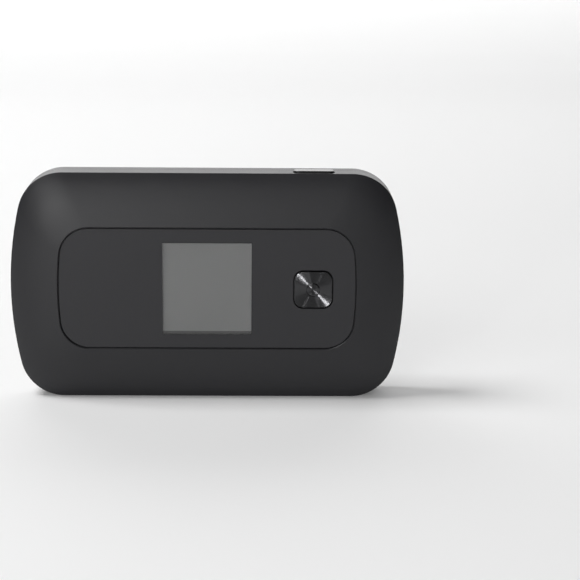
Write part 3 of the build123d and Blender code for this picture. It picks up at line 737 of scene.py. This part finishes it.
class HOTSPOT_OT_power_button(bpy.types.Operator):
    """Gives the power button its smooth plastic"""

    bl_idname = "hotspot.power_button"
    bl_label = "Power button"

    def execute(self, context):
        plastic = moulded(
            "power_plastic", (0.006, 0.006, 0.006), 0.24, pitch=0.1 * MM, relief=5e-4 * MM
        )
        dress(plastic, "power_button_cap")
        return {"FINISHED"}


class HOTSPOT_OT_board(bpy.types.Operator):
    """Finishes the circuit board, its shields, switches and chips"""

    bl_idname = "hotspot.board"
    bl_label = "Circuit board"

    def execute(self, context):
        mask = etched("board_mask", (0.004, 0.06, 0.028), (0.01, 0.13, 0.06), 0.32, 0.5 * MM)
        sheet = rolled("sheet_steel", (0.6, 0.6, 0.58), 0.3, (200.0, 200.0, 3000.0), Metallic=1.0)
        stamped = rolled(
            "stamped_steel", (0.55, 0.55, 0.54), 0.26, (3000.0, 500.0, 500.0), Metallic=1.0
        )
        silicone = soft("pad_silicone", (0.3, 0.35, 0.4), 0.75, 0.25 * MM, relief=0.008 * MM)
        resin = moulded(
            "chip_resin", (0.016, 0.016, 0.017), 0.45, pitch=0.12 * MM, relief=0.003 * MM
        )
        dress(mask, "main_board")
        dress(sheet, "modem_shield", "processor_shield", "wifi_shield")
        dress(stamped, "menu_switch", "power_switch", "reset_switch")
        dress(silicone, "modem_pad")
        dress(resin, "charger_chip")
        return {"FINISHED"}


# Contacts on the tongue of the USB-C socket, twelve on each face.
CONTACTS = 12
CONTACT_PITCH = 0.5 * MM
CONTACT_SIZE = (0.27 * MM, 3.4 * MM)
CONTACT_SETBACK = 0.35 * MM
CONTACT_PROUD = 0.02 * MM
CONTACT_CORNER = 0.08 * MM
CONTACT_EDGE = 0.01 * MM
TONGUE_HALF_THICK = 0.35 * MM


class HOTSPOT_OT_usb_port(bpy.types.Operator):
    """Finishes the USB-C socket and lays the gold contacts on its tongue"""

    bl_idname = "hotspot.usb_port"
    bl_label = "USB-C socket"

    def execute(self, context):
        steel = rolled(
            "drawn_steel", (0.62, 0.62, 0.61), 0.24, (3000.0, 3000.0, 250.0), Metallic=1.0
        )
        dress(steel, "usb_shell")
        dress(moulded("tongue_plastic", (0.018, 0.018, 0.018), 0.45), "usb_tongue")
        low, high = (Vector(corner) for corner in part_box("usb_tongue"))
        centre_x, centre_y = (low.x + high.x) / 2, (low.y + high.y) / 2
        middle_z = low.z + CONTACT_SETBACK + CONTACT_SIZE[1] / 2
        bm = bmesh.new()
        for side in (-1, 1):
            outer = centre_y + side * (TONGUE_HALF_THICK + CONTACT_PROUD)
            inner = centre_y + side * (TONGUE_HALF_THICK - 2 * CONTACT_PROUD)
            front, rear = min(outer, inner), max(outer, inner)
            for index in range(CONTACTS):
                middle = (centre_x + (index - (CONTACTS - 1) / 2) * CONTACT_PITCH, middle_z)
                add_slab(bm, middle, CONTACT_SIZE, front, rear, CONTACT_CORNER, CONTACT_EDGE)
        gold = rolled("contact_gold", (0.83, 0.6, 0.24), 0.2, (300.0, 300.0, 3000.0), Metallic=1.0)
        new_piece("usb_contacts", bm, gold, "root", "gold")
        return {"FINISHED"}


class HOTSPOT_OT_card_slot(bpy.types.Operator):
    """Finishes the card socket and the card in it"""

    bl_idname = "hotspot.card_slot"
    bl_label = "Card slot"

    def execute(self, context):
        steel = rolled(
            "socket_steel", (0.58, 0.58, 0.57), 0.28, (250.0, 250.0, 3000.0), Metallic=1.0
        )
        plastic = moulded(
            "card_plastic", (0.8, 0.8, 0.79), 0.35, pitch=0.3 * MM, relief=0.002 * MM
        )
        dress(steel, "sim_socket")
        dress(plastic, "sim_card")
        return {"FINISHED"}


# Plus and minus marks on the battery's end cap. Each bar is that share of the cap's width long.
MARK_SHARE = 0.7
MARK_WIDTH = 0.5 * MM
MARK_PROUD = 0.06 * MM
MARK_INSET = 4.0 * MM
MARK_CORNER = 0.1 * MM
MARK_EDGE = 0.02 * MM


class HOTSPOT_OT_battery(bpy.types.Operator):
    """Finishes the battery and the springs that touch it, and adds its polarity marks"""

    bl_idname = "hotspot.battery"
    bl_label = "Battery"

    def execute(self, context):
        foil = rolled("cell_foil", (0.42, 0.42, 0.43), 0.36, (120.0, 2000.0, 120.0), Metallic=1.0)
        paper, ink = (0.5, 0.5, 0.5), (0.03, 0.03, 0.032)
        wrap = printed("wrap_print", "battery_wrap", paper, ink, 0.42, 2.6 * MM)
        dress(foil, "battery_cell")
        dress(moulded("cap_plastic", (0.02, 0.02, 0.021), 0.5), "battery_end_cap")
        dress(wrap, "battery_wrap")
        dress(moulded("socket_plastic", (0.018, 0.018, 0.018), 0.5), "battery_connector")
        gold = rolled("pad_gold", (0.83, 0.6, 0.24), 0.22, (300.0, 3000.0, 300.0), Metallic=1.0)
        dress(gold, "battery_springs", "battery_pads")
        low, high = (Vector(corner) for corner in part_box("battery_end_cap"))
        middle_x = (low.x + high.x) / 2
        upper, lower = high.z - MARK_INSET, low.z + MARK_INSET
        front, rear = high.y - MARK_PROUD, high.y + MARK_PROUD
        length = (high.x - low.x) * MARK_SHARE
        flat, upright = (length, MARK_WIDTH), (MARK_WIDTH, length)
        bm = bmesh.new()
        for z, size in ((upper, flat), (lower, flat), (upper, upright)):
            add_slab(bm, (middle_x, z), size, front, rear, MARK_CORNER, MARK_EDGE)
        white = moulded("mark_ink", (0.7, 0.7, 0.69), 0.5, pitch=0.2 * MM, relief=0.002 * MM)
        new_piece("battery_marks", bm, white, "root", "label_white")
        return {"FINISHED"}


class HOTSPOT_OT_chassis(bpy.types.Operator):
    """Finishes the middle frame and the screws"""

    bl_idname = "hotspot.chassis"
    bl_label = "Chassis"

    def execute(self, context):
        plastic = moulded(
            "chassis_plastic", (0.02, 0.02, 0.021), 0.52, pitch=0.3 * MM, relief=0.009 * MM
        )
        steel = rolled("screw_steel", (0.3, 0.3, 0.31), 0.32, (900.0, 900.0, 900.0), Metallic=1.0)
        dress(plastic, "mid_frame")
        dress(steel, "board_screws", "frame_screws")
        return {"FINISHED"}


class HOTSPOT_OT_labels(bpy.types.Operator):
    """Finishes the label in the battery bay, the moisture dot and the tape behind the panel"""

    bl_idname = "hotspot.labels"
    bl_label = "Labels and tape"

    def execute(self, context):
        paper, ink = (0.78, 0.78, 0.76), (0.04, 0.04, 0.04)
        dot = moulded(
            "dot_paper", (0.82, 0.8, 0.78), 0.75, pitch=0.15 * MM, relief=0.006 * MM
        )
        dress(printed("bay_print", "bay_label", paper, ink, 0.6, 2.2 * MM), "bay_label")
        dress(dot, "moisture_dot")
        dress(moulded("tape_adhesive", (0.4, 0.4, 0.38), 0.7), "panel_tape")
        return {"FINISHED"}


class HOTSPOT_OT_antennas(bpy.types.Operator):
    """Finishes the printed aerials on the middle frame"""

    bl_idname = "hotspot.antennas"
    bl_label = "Aerials"

    def execute(self, context):
        aerials = etched("antenna_film", (0.3, 0.13, 0.03), (0.62, 0.3, 0.12), 0.3, 1.1 * MM)
        dress(aerials, "main_antenna", "diversity_antenna")
        dress(aerials, "wifi_antenna_left", "wifi_antenna_right")
        return {"FINISHED"}


# ---- stage --------------------------------------------------------------------------------------
AIM = Vector((0.0, 0.0, 0.03))
# Each light: azimuth and elevation from the hotspot, distance, width, height and power.
LIGHTS = {
    "overhead_light": (-90, 60, 1.2, 0.5, 0.5, 10.5),
    "key_light": (-25, 28, 1.2, 0.8, 0.4, 3.3),
    "low_light": (-14, 4, 1.2, 0.3, 0.12, 1.7),
    "left_light": (-50, 12, 1.2, 0.5, 0.35, 0.3),
    "streak_light": (-20, 11, 1.2, 0.09, 0.09, 1.8),
    "cross_streak_light": (18, 13, 1.2, 0.06, 0.06, 0.26),
    "back_light_left": (-155, 35, 1.0, 0.5, 0.5, 1.1),
    "back_light_right": (155, 35, 1.0, 0.5, 0.5, 0.7),
}


def towards(azimuth, elevation):
    """Direction seen from the hotspot: azimuth 0 is straight in front, and 90 is to its right."""
    turn, rise = math.radians(azimuth), math.radians(elevation)
    return Vector(
        (math.sin(turn) * math.cos(rise), -math.cos(turn) * math.cos(rise), math.sin(rise))
    )


def soft_light(name, azimuth, elevation, distance, width, height, power):
    """Flat studio light, aimed at the hotspot."""
    data = bpy.data.lights.new(name, "AREA")
    data.shape = "RECTANGLE"
    data.size = width
    data.size_y = height
    data.energy = power
    light = bpy.data.objects.new(name, data)
    away = towards(azimuth, elevation)
    light.location = AIM + away * distance
    light.rotation_euler = (-away).to_track_quat("-Z", "Y").to_euler()
    bpy.context.scene.collection.objects.link(light)


# The floor and backdrop, from the side: where they begin and end, the curve between them, and the
# height over which the glow changes.
BACKDROP_HALF_WIDTH = 0.75
FLOOR_FRONT = -1.1
BACKDROP_Y = 1.2
BACKDROP_TOP = 1.3
SWEEP_RADIUS = 0.5
SWEEP_STEPS = 24
GLOW_RISE = 0.25


def backdrop_paper(stage):
    """Plain pale paper that glows a little more where it rises behind the hotspot."""
    material, tree, shader = start_material(
        "backdrop_paper", Base_Color=rgba(stage.floor_colour), Roughness=0.8, Specular_IOR_Level=0.2
    )
    height = tree.add("ShaderNodeSeparateXYZ", {0: tree.place()}).outputs["Z"]
    risen = tree.ranged(height, 0.0, GLOW_RISE)
    glow = tree.mixed(risen, rgba([stage.floor_glow] * 3), rgba([stage.wall_glow] * 3))
    tree.links.new(glow, shader.inputs["Emission Color"])
    shader.inputs["Emission Strength"].default_value = 1.0
    return material


def sweep_backdrop(material):
    """Floor that curves up into a backdrop behind the hotspot."""
    centre_y = BACKDROP_Y - SWEEP_RADIUS
    profile = [(FLOOR_FRONT, 0.0), (centre_y, 0.0)]
    for step in range(1, SWEEP_STEPS + 1):
        turn = math.pi / 2 * step / SWEEP_STEPS
        rise = SWEEP_RADIUS - SWEEP_RADIUS * math.cos(turn)
        profile.append((centre_y + SWEEP_RADIUS * math.sin(turn), rise))
    profile.append((BACKDROP_Y, BACKDROP_TOP))
    mesh = bpy.data.meshes.new("backdrop")
    sides = (-BACKDROP_HALF_WIDTH, BACKDROP_HALF_WIDTH)
    vertices = [(x, y, z) for y, z in profile for x in sides]
    faces = [(2 * i, 2 * i + 1, 2 * i + 3, 2 * i + 2) for i in range(len(profile) - 1)]
    mesh.from_pydata(vertices, [], faces)
    mesh.shade_smooth()
    mesh.materials.append(material)
    backdrop = bpy.data.objects.new("backdrop", mesh)
    bpy.context.scene.collection.objects.link(backdrop)


def studio_air(strength, seen):
    """Pale surroundings beyond the floor that give only faint light."""
    world = bpy.data.worlds.new("studio_air")
    world.use_nodes = True
    world.node_tree.nodes.clear()
    tree = Tree(world.node_tree)
    straight = tree.add("ShaderNodeLightPath").outputs["Is Camera Ray"]
    level = tree.ranged(straight, 0.0, 1.0, strength, seen)
    inputs = {"Color": rgba((1.0, 1.0, 1.0)), "Strength": level}
    background = tree.add("ShaderNodeBackground", inputs)
    out = tree.add("ShaderNodeOutputWorld")
    tree.links.new(background.outputs[0], out.inputs["Surface"])
    bpy.context.scene.world = world


def place_camera(stage):
    """Camera a little above the hotspot, looking slightly down."""
    data = bpy.data.cameras.new("camera")
    data.lens = stage.lens
    camera = bpy.data.objects.new("camera", data)
    yaw = Matrix.Rotation(-stage.camera_yaw, 4, "Z")
    pitch = Matrix.Rotation(math.pi / 2 - stage.camera_pitch, 4, "X")
    roll = Matrix.Rotation(stage.camera_roll, 4, "Z")
    camera.matrix_world = Matrix.Translation(stage.camera_place) @ yaw @ pitch @ roll
    bpy.context.scene.collection.objects.link(camera)
    bpy.context.scene.camera = camera


class HOTSPOT_OT_stage(bpy.types.Operator):
    """Makes the floor and backdrop, the studio lights and the camera"""

    bl_idname = "hotspot.stage"
    bl_label = "Stage"

    def execute(self, context):
        stage = context.scene.hotspot_stage
        sweep_backdrop(backdrop_paper(stage))
        for name, setting in LIGHTS.items():
            soft_light(name, *setting)
        studio_air(stage.air_strength, stage.surroundings)
        place_camera(stage)
        context.scene.view_settings.view_transform = "Standard"
        return {"FINISHED"}


# ---- sidebar, registering and running -----------------------------------------------------------
STEPS = (
    HOTSPOT_OT_covers,
    HOTSPOT_OT_front_panel,
    HOTSPOT_OT_display,
    HOTSPOT_OT_menu_button,
    HOTSPOT_OT_power_button,
    HOTSPOT_OT_board,
    HOTSPOT_OT_usb_port,
    HOTSPOT_OT_card_slot,
    HOTSPOT_OT_battery,
    HOTSPOT_OT_chassis,
    HOTSPOT_OT_labels,
    HOTSPOT_OT_antennas,
    HOTSPOT_OT_stage,
)


class HOTSPOT_PT_build(bpy.types.Panel):
    """Lists the steps that build the hotspot's looks"""

    bl_idname = "HOTSPOT_PT_build"
    bl_label = "Mobile Hotspot"
    bl_space_type = "VIEW_3D"
    bl_region_type = "UI"
    bl_category = "Hotspot"

    def draw(self, context):
        for step in STEPS:
            self.layout.operator(step.bl_idname)


CLASSES = (HotspotFinishes, HotspotStage, *STEPS, HOTSPOT_PT_build)


def register():
    """Adds the settings, operators and panel."""
    for item in CLASSES:
        bpy.utils.register_class(item)
    bpy.types.Scene.hotspot_finishes = PointerProperty(type=HotspotFinishes)
    bpy.types.Scene.hotspot_stage = PointerProperty(type=HotspotStage)


def unregister():
    """Removes what register added."""
    del bpy.types.Scene.hotspot_stage
    del bpy.types.Scene.hotspot_finishes
    for item in reversed(CLASSES):
        bpy.utils.unregister_class(item)


def main():
    """Builds the looks step by step."""
    register()
    for step in STEPS:
        area, name = step.bl_idname.split(".")
        getattr(getattr(bpy.ops, area), name)()


if __name__ == "__main__":
    main()
